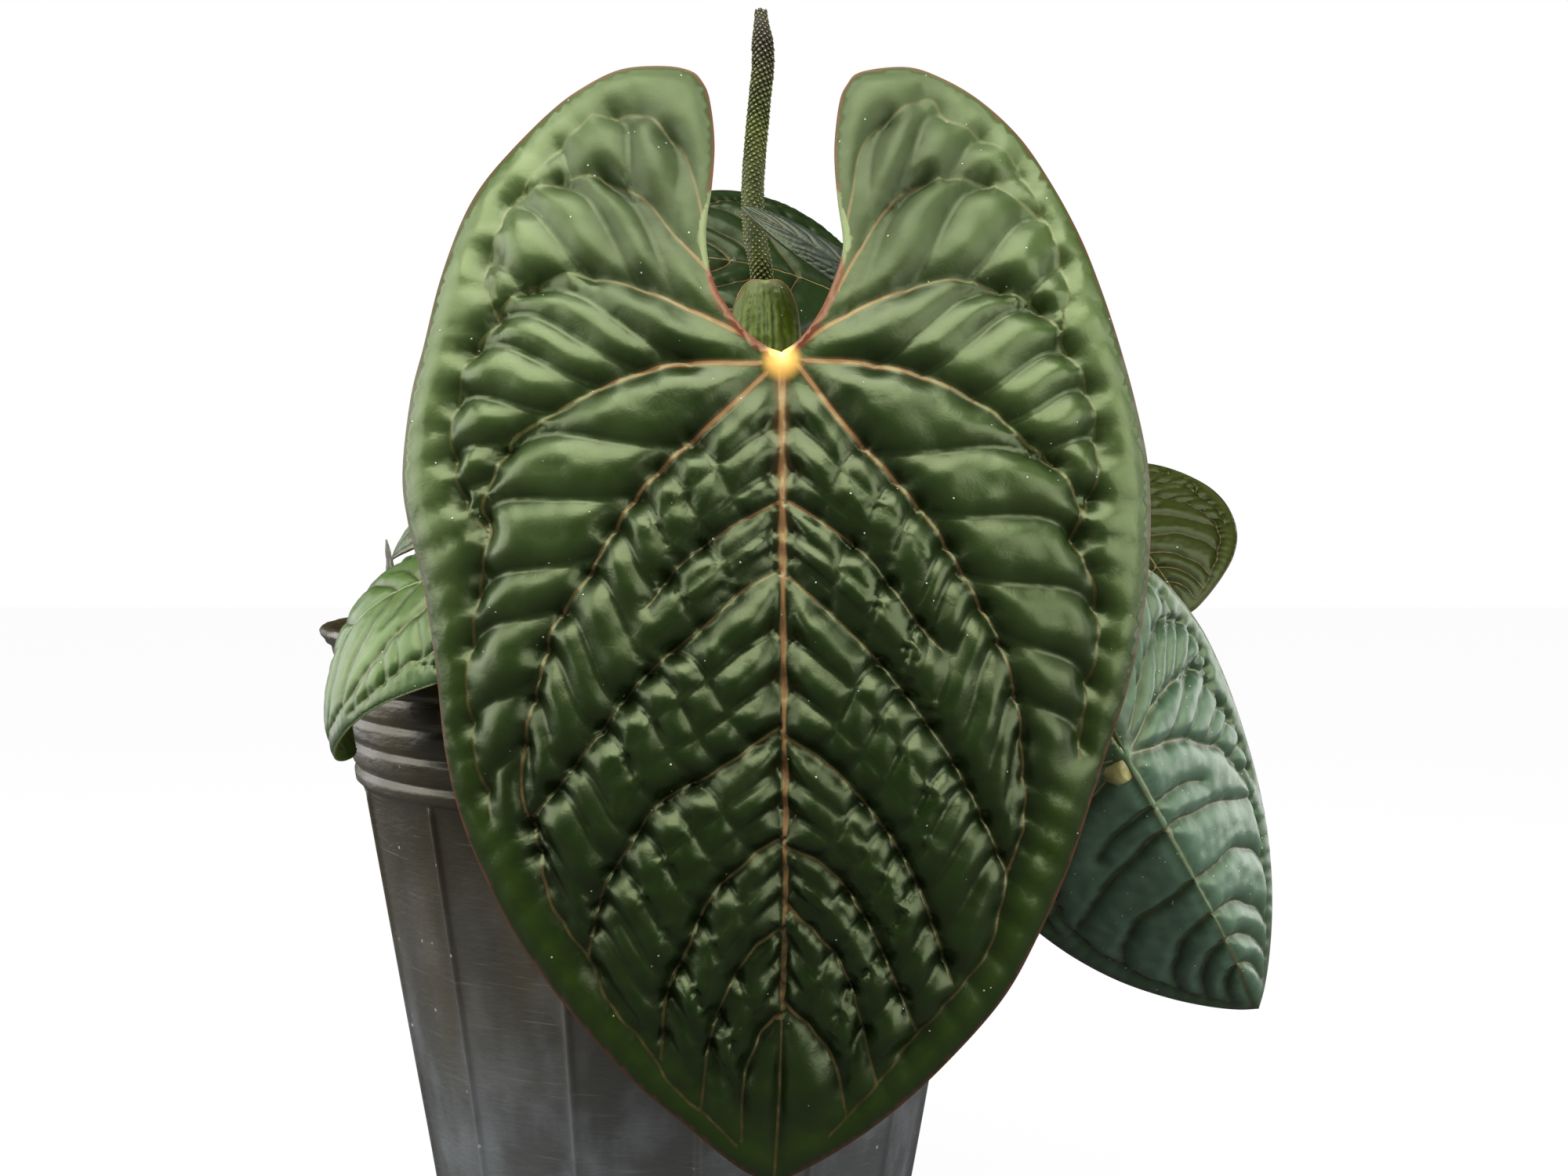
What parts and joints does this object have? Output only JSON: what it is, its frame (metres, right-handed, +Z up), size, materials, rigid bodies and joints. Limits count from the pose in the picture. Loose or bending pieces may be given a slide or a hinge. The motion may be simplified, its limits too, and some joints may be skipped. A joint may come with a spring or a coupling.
{
  "type": "potted anthurium",
  "caption": "Heart-leaved anthurium with quilted hanging leaves and a slim upright flower spike, in a ribbed black nursery pot filled with bark mix.",
  "frame": {"origin": "centre of the pot's flat base, on the surface it stands on", "axes": "+Z up; the face of the large front leaf looks along -Y; +X is to the right of someone looking at that leaf"},
  "size_m": [0.2247, 0.2068, 0.2867],
  "materials": {
    "pot_plastic": "satin",
    "bark_mix": "matte",
    "stem_bark": "matte",
    "root_skin": "matte",
    "stalk_green": "satin",
    "front_leaf_green": "satin",
    "left_leaf_green": "satin",
    "right_leaf_green": "satin",
    "bronze_leaf": "satin",
    "back_leaf_green": "satin",
    "young_leaf_silver": "satin",
    "left_back_leaf_green": "satin",
    "spathe_green": "satin",
    "spadix_olive": "matte",
    "cataphyll_brown": "matte"
  },
  "bodies": {
    "root": {"pot": "pot_plastic", "potting_mix": "bark_mix", "stem": "stem_bark", "front_blade": "front_leaf_green", "left_blade": "left_leaf_green", "right_lower_blade": "right_leaf_green", "right_upper_blade": "bronze_leaf", "back_blade": "back_leaf_green", "young_blade": "young_leaf_silver", "left_back_blade": "left_back_leaf_green", "peduncle": "stalk_green", "spathe": "spathe_green", "spadix": "spadix_olive", "offset_shoot": "cataphyll_brown", "aerial_root_1": "root_skin", "aerial_root_2": "root_skin", "aerial_root_3": "root_skin", "aerial_root_4": "root_skin", "cataphyll_1": "cataphyll_brown", "cataphyll_2": "cataphyll_brown", "front_petiole": "stalk_green", "left_petiole": "stalk_green", "right_lower_petiole": "stalk_green", "right_upper_petiole": "stalk_green", "back_petiole": "stalk_green", "young_petiole": "stalk_green", "left_back_petiole": "stalk_green"}
  },
  "joints": []
}
